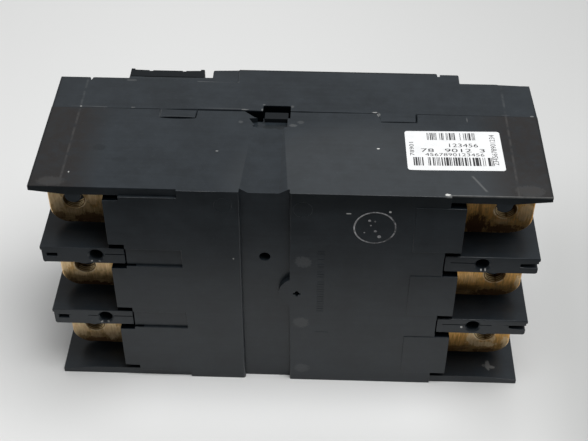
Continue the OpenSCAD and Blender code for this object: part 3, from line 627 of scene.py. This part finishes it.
def scuffed_ridge():
    """Plastic of the raised marks, whitened in patches where it is rubbed, and paler towards the
    load end.
    """
    finish = Finish("rubbed_plastic", roughness=0.5)
    along = finish.part(0) / MM
    patch = finish.noise(2.2, 3.0, 0.7).rise(0.42, 0.62)
    left = along.rise(50, 36) * 0.35
    return finish.set(base_color=finish.mix((patch * 0.5 + left).least(1.0), (0.05, 0.052, 0.056),
                                            (0.42, 0.42, 0.43)))


plastic = black_plastic()
brass = aged_brass()
ridge = scuffed_ridge()
grey = plain("charcoal_plastic", (0.010, 0.012, 0.014), gloss=0.12, roughness=0.6)
steel = plain("zinc_plated_steel", (0.5, 0.5, 0.5), roughness=0.35, metallic=1.0)
red = plain("red_button_plastic", (0.45, 0.03, 0.025), roughness=0.3)
plate = plain("bare_plate", (0.6, 0.6, 0.6), roughness=0.4, metallic=1.0)
paper = plain("label_paper", (0.80, 0.81, 0.815), roughness=0.5)
ink = plain("black_ink", (0.02, 0.02, 0.022), roughness=0.6)

slots = {part["node"]: part["material_slot"] for part in frame["record"]["subparts"]}
by_slot = {"case_plastic": plastic, "trim_plastic": grey, "button_plastic": red,
           "terminal_brass": brass, "zinc_steel": steel, "plate_metal": plate, "label_paper": paper}
for name, obj in frame["nodes"].items():
    dress(obj, by_slot[slots[name]])


# ---------------------------------------------------------------- mouldings of the case

def softened_moulding(name, node, width, least):
    """A node's copy with softened edges, with what add_piece needs to know of it."""
    obj = moulding(name, node)
    soften(obj, width, least)
    slot = slots[node]
    return obj, by_slot[slot], slot, node


def plus_cutter(x, z, length, width):
    """A plug in the shape of a plus, that stands through the back."""
    depth = (PAD_DEPTH - 1.5, PAD_DEPTH + 1.5)
    across = block("plus", (x - length / 2, x + length / 2), depth, (z - width / 2, z + width / 2))
    upright = block("plus", (x - width / 2, x + width / 2), depth, (z - length / 2, z + length / 2))
    apply_modifier(across, "BOOLEAN", operation="UNION", object=upright, solver="EXACT")
    bpy.data.objects.remove(upright)
    return across


def behind_latches(reach):
    """Heights of a well that reaches so far in from each long side, behind its latch."""
    return (case_width - reach, case_width - LATCH_SKIN), (LATCH_SKIN, reach)


def latch_well(x, depth, z):
    """A deep well behind a latch window, rounded towards the line end."""
    well = block("well", x, depth, z)
    edit(well)
    pick(well, "EDGE", lambda edge: near(edge.verts[0].co.x, x[1] * MM, 1e-5)
         and near(edge.verts[1].co.x, x[1] * MM, 1e-5) and edge.calc_length() > 10 * MM)
    bpy.ops.mesh.bevel(offset=1.2 * MM, segments=3)
    leave()
    return well


def wedge_well(z):
    """The deep wedge-shaped gap beside a latch."""
    depths = (SEAM_DEPTH - WEDGE_DEPTHS[2], SEAM_DEPTH + 1)
    well = block("wedge", (WEDGE_X[0], WEDGE_X[2]), depths, z)
    edit(well)
    bpy.ops.mesh.select_all(action="SELECT")
    bpy.ops.mesh.bisect(plane_co=at(WEDGE_X[1], 0, 0), plane_no=(1, 0, 0))
    leave()
    for x, drop in zip(WEDGE_X[:2], WEDGE_DEPTHS[:2]):
        shift_verts(well, lambda along, depth, up: near(along, x) and depth < SEAM_DEPTH,
                    y=WEDGE_DEPTHS[2] - drop)
    return well


def make_base():
    """The base: softened pads and dish, wedges beside the latches, a small plus in the back."""
    obj = moulding("case_base", "base")
    shift_verts(obj, lambda along, depth, up: near(depth, NOTCH_DEPTH), x=0.25, y=-0.3)

    def channel_side(x):
        return lambda edge: all(near(place_of(vert)[0], x) and near(place_of(vert)[1], PAD_DEPTH)
                                for vert in edge.verts)

    def dish_edge(edge):
        return all(near(place_of(vert)[1], DISH_DEPTH) and place_of(vert)[2] > case_width - 2.4
                   for vert in edge.verts)

    def back_edge(edge):
        return all(place_of(vert)[1] < SEAM_DEPTH - 20 for vert in edge.verts)

    soften(obj, width=0.9, least=20, test=channel_side(CHANNEL_X[1]), segments=3)
    soften(obj, width=1.6, least=20, test=channel_side(CHANNEL_X[0]), segments=3)
    soften(obj, width=0.9, least=8, test=dish_edge, segments=3)
    soften(obj, width=0.25, least=8, test=back_edge)
    for z in behind_latches(24):
        cut(obj, wedge_well(z))
    cut(obj, plus_cutter(x=4.4, z=76.0, length=4.4, width=1.3))
    add_piece(obj, plastic, "case_plastic", "base")


def round_window(obj):
    """Rounds the two far corners of each latch window."""
    def corner(edge):
        (x_1, depth_1, up_1), (x_2, depth_2, up_2) = (place_of(vert) for vert in edge.verts)
        return (near(depth_1, WINDOW_TOP) and near(depth_2, WINDOW_TOP) and near(x_1, x_2)
                and any(near(x_1, x) for x in WINDOW_X) and not near(up_1, up_2))

    edit(obj)
    pick(obj, "EDGE", corner)
    bpy.ops.mesh.bevel(offset=1.0 * MM, segments=3, clamp_overlap=False)
    leave()


def make_cover():
    """The cover with its latch windows, and the lid of the trip unit."""
    def front_edge(edge):
        return all(place_of(vert)[1] > STEP_DEPTH for vert in edge.verts)

    def above_window(edge):
        return any(place_of(vert)[1] > WINDOW_TOP + 1 for vert in edge.verts)

    obj = moulding("case_cover", "cover")
    for z in behind_latches(26):
        cut(obj, latch_well(WINDOW_X, (SEAM_DEPTH - 0.5, WINDOW_TOP), z))
    shift_verts(obj, lambda along, depth, up: near(depth, SEAM_DEPTH) and abs(along) < SEAM_END_X,
                y=SEAM_GAP)
    soften(obj, width=0.9, least=5, test=front_edge)
    soften(obj, width=0.4, least=5, test=above_window)
    round_window(obj)
    add_piece(obj, plastic, "case_plastic", "cover")
    add_piece(*softened_moulding("trip_unit_lid", "trip_unit_cover", width=0.4, least=5))


def make_barriers():
    """The barriers between the poles, each with a seam on its back edge."""
    for end, sign in (("load", -1), ("line", 1)):
        for number in (1, 2):
            node = f"{end}_barrier_{number}"
            z = middle_z(node) + 1.5
            obj = moulding(f"{end}_pole_barrier_{number}", node)
            soften(obj, width=0.5, least=4)
            inner = (sign * 90, sign * 103.6)
            cut(obj, block("seam", (min(inner), max(inner)), (-1, 1.4), (z - 0.3, z + 0.3)))
            if number == 1:
                outer = (sign * 112.6, sign * 119)
                cut(obj, block("seam", (min(outer), max(outer)), (-1, 0.8), (z - 0.25, z + 0.25)))
            add_piece(obj, plastic, "case_plastic", node)


def make_trim():
    """The small plastic pieces, with softened edges."""
    for node, width, least in (("handle", 1.2, 3), ("handle_guard", 0.6, 4),
                               ("handle_shutter", 0.4, 4), ("upper_latch", 0.4, 3),
                               ("lower_latch", 0.4, 3)):
        add_piece(*softened_moulding("soft_" + node, node, width, least))


# ---------------------------------------------------------------- terminals

STRAP_ROOT_X = 101   # a strap's edges are softened beyond this
CLEAR_OF_HOLE = 8.5  # only what lies further than this from a strap's middle is moved


def thread_cutter(x, z, profile):
    """A turned plug across the back, from its depths and radii in millimetres."""
    start, radius = profile[0]
    bpy.ops.mesh.primitive_circle_add(vertices=40, radius=radius * MM, fill_type="NGON",
                                      location=at(x, start, z), rotation=(math.radians(-90), 0, 0))
    plug = bpy.context.object
    edit(plug)
    bpy.ops.mesh.select_all(action="SELECT")
    for depth, new_radius in profile[1:]:
        extrude(y=depth - start)
        grow = new_radius / radius
        bpy.ops.transform.resize(value=(grow, 1, grow), center_override=at(x, depth, z))
        start, radius = depth, new_radius
    bpy.ops.mesh.select_all(action="SELECT")
    bpy.ops.mesh.normals_make_consistent(inside=False)
    leave()
    return settle(plug)


def thread_profile(low, high, inner, outer, pitch):
    """Depths and radii of a threaded hole with chamfered mouths."""
    points = [(low - 1, outer + 0.7), (low + 0.05, outer + 0.3), (low + 0.5, outer - 0.1)]
    depth = low + 0.8
    while depth + pitch < high - 0.6:
        points += [(depth, inner), (depth + 0.15, inner), (depth + 0.55 * pitch, outer)]
        depth += pitch
    return points + [(high - 0.6, inner), (high - 0.1, outer + 0.2), (high + 1, outer + 0.5)]


def make_terminals():
    """The six straps: one is worked on at each end, and its copies take their nodes' widths."""
    for end, hole_x in (("load", LOAD_HOLE), ("line", LINE_HOLE)):
        low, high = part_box(f"{end}_terminal_1")
        depths = (low.y - back_plane) / MM, (high.y - back_plane) / MM
        pole_z = middle_z(f"{end}_terminal_1")

        def outer_edge(edge):
            places = [place_of(vert) for vert in edge.verts]
            return all(abs(x) > STRAP_ROOT_X
                       and math.hypot(x - hole_x, z - pole_z) > HOLE_RADIUS + 1.6
                       for x, _, z in places)

        strap = moulding(f"{end}_strap_1", f"{end}_terminal_1")
        soften(strap, width=0.9, least=0.3, test=outer_edge, segments=3)
        profile = thread_profile(*depths, HOLE_RADIUS, THREAD_RADIUS, THREAD_PITCH)
        cut(strap, thread_cutter(hole_x, pole_z, profile))
        settle(strap)
        for number in (1, 2, 3):
            node = f"{end}_terminal_{number}"
            middle = pole_z + pole_pitch * (number - 1)
            node_low, node_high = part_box(node)
            extra = ((high.z - low.z) - (node_high.z - node_low.z)) / 2 / MM
            obj = copy_of(strap, f"{end}_strap_{number}_copy", (0, 0, middle - pole_z))
            settle(obj)
            shift_verts(obj, lambda x, depth, z: z > middle + CLEAR_OF_HOLE, z=-extra)
            shift_verts(obj, lambda x, depth, z: z < middle - CLEAR_OF_HOLE, z=extra)
            add_piece(obj, brass, "terminal_brass", node)
        bpy.data.objects.remove(strap)


# ---------------------------------------------------------------- moulded marks on the back

SINK = 0.02  # how far a mark starts inside the face that it stands on
FACING_BACK = (math.radians(90), 0, 0)


def disc(name, x, z, radius, rise, rim=0.3, sides=32):
    """A low round button on the back, with a sloped rim."""
    bpy.ops.mesh.primitive_circle_add(vertices=sides, radius=radius * MM, fill_type="NGON",
                                      location=at(x, PAD_DEPTH + SINK, z), rotation=FACING_BACK)
    obj = bpy.context.object
    obj.name = name
    edit(obj)
    bpy.ops.mesh.select_all(action="SELECT")
    extrude(y=-rise - SINK)
    shrink = (radius - rim) / radius
    bpy.ops.transform.resize(value=(shrink, 1, shrink), center_override=at(x, PAD_DEPTH - rise, z))
    return obj


def button(name, x, z, radius, rise):
    """A closed disc."""
    obj = disc(name, x, z, radius, rise)
    bpy.ops.mesh.select_all(action="SELECT")
    bpy.ops.mesh.normals_make_consistent(inside=False)
    leave()
    return settle(obj)


def ring(name, x, z, radius, width, rise):
    """A low raised ring on the back."""
    obj = disc(name, x, z, radius, rise, 0.3 * width, 64)
    bpy.ops.mesh.inset(thickness=0.4 * width * MM)
    extrude(y=rise + 0.01)
    shrink = (radius - width) / (radius - 0.7 * width)
    bpy.ops.transform.resize(value=(shrink, 1, shrink), center_override=at(x, PAD_DEPTH, z))
    bpy.ops.mesh.delete(type="FACE")
    bpy.ops.mesh.select_all(action="SELECT")
    bpy.ops.mesh.normals_make_consistent(inside=False)
    leave()
    return settle(obj)


def cells(name, across, down, size, place, turn, keep, lift):
    """A row or field of small raised blocks: a grid with the cells that fail the test taken out."""
    bpy.ops.mesh.primitive_grid_add(x_subdivisions=across, y_subdivisions=down, size=1)
    obj = bpy.context.object
    obj.name = name

    def dropped(face):
        middle = face.calc_center_median()
        return not keep(int((middle.x + 0.5) * across), int((middle.y + 0.5) * down))

    edit(obj)
    pick(obj, "FACE", dropped)
    bpy.ops.mesh.delete(type="FACE")
    leave()
    obj.scale = (size[0] * MM, size[1] * MM, 1)
    obj.rotation_euler = turn
    obj.location = place
    settle(obj)
    edit(obj)
    bpy.ops.mesh.select_all(action="SELECT")
    extrude(*lift)
    bpy.ops.mesh.select_all(action="SELECT")
    bpy.ops.mesh.normals_make_consistent(inside=False)
    leave()
    return obj


DATE_DOTS = (  # along, up, radius, height
    (43.5, 134.2, 0.8, 0.16), (46.5, 133.8, 0.6, 0.16), (44.3, 130.8, 0.5, 0.14),
    (47.0, 126.5, 0.9, 0.16), (49.2, 122.6, 1.1, 0.18), (41.0, 125.4, 0.5, 0.14),
)
EJECTOR_RINGS = (  # along, up, radius, width, height
    (7.4, 141.2, 5.4, 0.35, 0.06), (-35.6, 142.8, 5.0, 0.3, 0.05), (7.5, 101.9, 1.7, 0.5, 0.05),
    (7.8, 49.4, 1.7, 0.5, 0.05), (7.9, 12.9, 1.7, 0.5, 0.05),
)


def make_marks():
    """The raised marks of the moulding: a ring with dots, ejector rings and rows of dashes."""
    chance = random.Random(7)
    date_ring = ring("date_ring", x=46.6, z=129.0, radius=11.7, width=0.9, rise=0.22)
    add_piece(date_ring, ridge, "case_plastic")
    dots = [button("date_dots", *dot) for dot in DATE_DOTS]
    add_piece(join("date_dots", dots), ridge, "case_plastic")
    ejectors = [ring("ejector_rings", *place) for place in EJECTOR_RINGS]
    add_piece(join("ejector_rings", ejectors), plastic, "case_plastic")
    dashes = cells("moulded_dashes", 1, 50, (3.9, 50), at(17.9, PAD_DEPTH + SINK, 86.3),
                   FACING_BACK, lambda column, row: row % 2 == 0 and chance.random() < 0.8,
                   (0, -0.16, 0))
    line = cells("line", 3, 1, (7.8, 0.7), at(19.4, PAD_DEPTH + SINK, 43.9),
                 FACING_BACK, lambda column, row: True, (0, -0.14, 0))
    add_piece(join("moulded_dashes", [dashes, line]), plastic, "case_plastic")


# ---------------------------------------------------------------- label on the upper side

LABEL_CENTRE = (90.0, 37.8)
LABEL_SIZE = (53.2, 34.2)
LABEL_CORNER = 1.6
LABEL_THICKNESS = 0.11
LABEL_LIFT = 0.02
PEELED = (5.5, 4.0, 2.5)  # how far in from the corner each fold of its lifted corner runs
FOLD_LIFT = 0.05
PRINT_LIFT = 0.145
label_turn = math.radians(1.1)


def on_label(x, y, lift):
    """A point on the label, from its own centre."""
    turned = Matrix.Rotation(label_turn, 2) @ Vector((x, y))
    return at(LABEL_CENTRE[0] + turned.x, LABEL_CENTRE[1] + turned.y, case_width + lift)


def make_label():
    """The paper label: rounded corners, one of them lifted a little."""
    bpy.ops.mesh.primitive_plane_add(size=1)
    sheet = bpy.context.object
    sheet.name = "paper_label"
    sheet.scale = (LABEL_SIZE[0] * MM, LABEL_SIZE[1] * MM, 1)
    settle(sheet)
    edit(sheet)
    bpy.ops.mesh.select_all(action="SELECT")
    bpy.ops.mesh.bevel(offset=LABEL_CORNER * MM, affect="VERTICES", segments=5)
    corner = Vector((-LABEL_SIZE[0] / 2, -LABEL_SIZE[1] / 2, 0)) * MM
    inward = Vector((1, 1, 0)).normalized()
    for reach in PEELED:
        bpy.ops.mesh.select_all(action="SELECT")
        bpy.ops.mesh.bisect(plane_co=corner + inward * reach * MM, plane_no=inward)
    for reach in PEELED:
        pick(sheet, "VERT", lambda vert: (vert.co - corner).dot(inward) < (reach - 0.01) * MM)
        bpy.ops.transform.translate(value=(0, 0, FOLD_LIFT * MM))
    bpy.ops.mesh.select_all(action="SELECT")
    extrude(z=LABEL_THICKNESS)
    bpy.ops.mesh.select_all(action="SELECT")
    bpy.ops.mesh.normals_make_consistent(inside=False)
    leave()
    sheet.rotation_euler = (0, 0, label_turn)
    sheet.location = on_label(0, 0, LABEL_LIFT)
    add_piece(sheet, paper, "label_paper", "side_label", angle=20)


def printed(body, left, low, width, height, turn):
    """Plain digits that fill a rectangle on the label, placed by its lower left corner."""
    bpy.ops.object.text_add()
    text = bpy.context.object
    text.data.body = body
    text.data.resolution_u = 3
    bpy.ops.object.convert(target="MESH")
    text = bpy.context.object
    text.rotation_euler = (0, 0, math.radians(turn))
    settle(text)
    corners = [Vector(corner) for corner in text.bound_box]
    start = Vector((min(c.x for c in corners), min(c.y for c in corners), 0))
    size = Vector((max(c.x for c in corners), max(c.y for c in corners), 0)) - start
    grow = Vector((width * MM / size.x, height * MM / size.y, 1))
    text.scale = grow
    text.location = Vector((left * MM - start.x * grow.x, low * MM - start.y * grow.y, 0))
    return settle(text)


def bars(left, low, width, height, count, chance):
    """A field of upright bars on the label."""
    share = [chance.random() < 0.5 for _ in range(count)]
    return cells("bars", count, 1, (width, height),
                 Vector((left + width / 2, low + height / 2, 0)) * MM, (0, 0, 0),
                 lambda column, row: share[column], (0, 0, 0.004))


PRINT = (  # digits, left, low, width, height, turn
    ("123456", -2.5, 3.0, 16.0, 3.2, 0), ("78", -18.4, -1.4, 7.2, 3.0, 0),
    ("9012", -5.2, -1.4, 14.6, 3.0, 0), ("3", 13.9, -1.4, 3.0, 3.0, 0),
    ("4567890123456", -16.4, -4.9, 32.6, 2.6, 0), ("78901", -24.6, -4.6, 2.4, 11.8, 90),
    ("2345678901234", 20.4, -12.4, 3.0, 26.6, 90),
)


def make_print():
    """The printing on the label: two rows of bars and plain digits."""
    chance = random.Random(3)
    rows = [bars(-14.3, 9.2, 28.1, 6.4, 84, chance), bars(-23.1, -13.2, 43.7, 7.2, 120, chance)]
    obj = join("label_print", rows + [printed(*digits) for digits in PRINT])
    obj.rotation_euler = (0, 0, label_turn)
    obj.location = on_label(0, 0, PRINT_LIFT)
    add_piece(obj, ink, "label_paper")


make_base()
make_cover()
make_barriers()
make_trim()
make_terminals()
make_marks()
make_label()
make_print()

# ---------------------------------------------------------------- floor, light and camera

def floor_surface():
    """Pale table with painted light and shade: paler towards the load end and in front of the
    case's foot, darker past the line end. Its far front, past the light, shows dark in the gloss of
    the case: a painted reflection.
    """
    finish = Finish("pale_table", roughness=0.55)
    along, ahead, _ = finish.split()
    cloud = finish.noise(400, 2.0, 0.5)
    # Painted light: the table fades from pale at the load end to darker at the line end.
    lit = along.rise(340, -160) * 0.9 + cloud * 0.1
    pale = finish.mix(lit, (0.56, 0.565, 0.56), (0.74, 0.745, 0.74))
    # Painted light in front of the case's foot, where its shadow would fall.
    foot = ahead.within(-20, 5, 40) * along.within(-75, 70, 65)
    pale = finish.mix(foot * 0.85, pale, (0.93, 0.935, 0.93))
    # Painted shade on the table past the line end of the case.
    dim = along.rise(135, 185) * ahead.rise(240, 90)
    pale = finish.mix(dim * 0.55, pale, (0.36, 0.365, 0.36))
    # Painted reflection: the far front is dark only to glossy rays.
    gloss = finish.node("ShaderNodeLightPath", {}, {}, "Is Glossy Ray")
    far_front = gloss * ahead.rise(-70, -130)
    return finish.set(base_color=finish.mix(far_front, pale, (0.01, 0.01, 0.01)))


FLOOR_SIZE = 6
bpy.ops.object.select_all(action="DESELECT")
bpy.ops.mesh.primitive_plane_add(size=FLOOR_SIZE, location=(0, FLOOR_SIZE / 10, 0))
floor = bpy.context.object
floor.name = "floor"
settle(floor)
dress(floor, floor_surface())


def soft_light(name, size, place, target, watts):
    """A rectangular lamp that faces a target."""
    data = bpy.data.lights.new(name, "AREA")
    data.shape = "RECTANGLE"
    data.size, data.size_y = size
    data.energy = watts
    lamp = bpy.data.objects.new(name, data)
    lamp.location = place
    lamp.rotation_euler = (Vector(target) - Vector(place)).to_track_quat("-Z", "Y").to_euler()
    bpy.context.scene.collection.objects.link(lamp)


soft_light("window", size=(1.1, 1.1), place=(0.28, -0.12, 1.5), target=(0, 0, 0.08), watts=25)

# The room is darker behind the viewer than beyond the case.
world = bpy.data.worlds.new("room")
world.use_nodes = True
room = Nodes(world.node_tree, "Generated")
sky = room.part(1).rise(-0.6, 0.5) * 0.32 + 0.12
world.node_tree.nodes["Background"].inputs["Color"].default_value = (1.0, 1.0, 1.0, 1)
world.node_tree.links.new(sky.socket, world.node_tree.nodes["Background"].inputs["Strength"])
bpy.context.scene.world = world

# The camera looks down on the back and the upper side, a little from the right.
CAMERA_PLACE = (16.45, -454.46, 548.12)
LENS = 69.66
SENSOR_WIDTH = 36
YAW, PITCH, ROLL = -0.03027, 0.74125, -0.00351
forward = Vector((math.sin(YAW) * math.cos(PITCH), math.cos(YAW) * math.cos(PITCH),
                  -math.sin(PITCH)))
level = Vector((math.cos(YAW), -math.sin(YAW), 0))
down = forward.cross(level)
right = math.cos(ROLL) * level + math.sin(ROLL) * down
up = math.sin(ROLL) * level - math.cos(ROLL) * down
camera_data = bpy.data.cameras.new("camera")
camera_data.lens = LENS
camera_data.sensor_width = SENSOR_WIDTH
camera = bpy.data.objects.new("camera", camera_data)
bpy.context.scene.collection.objects.link(camera)
turn = Matrix((right, up, -forward)).transposed().to_4x4()
camera.matrix_world = Matrix.Translation(at(*CAMERA_PLACE)) @ turn
bpy.context.scene.camera = camera
bpy.context.scene.view_settings.view_transform = "Standard"
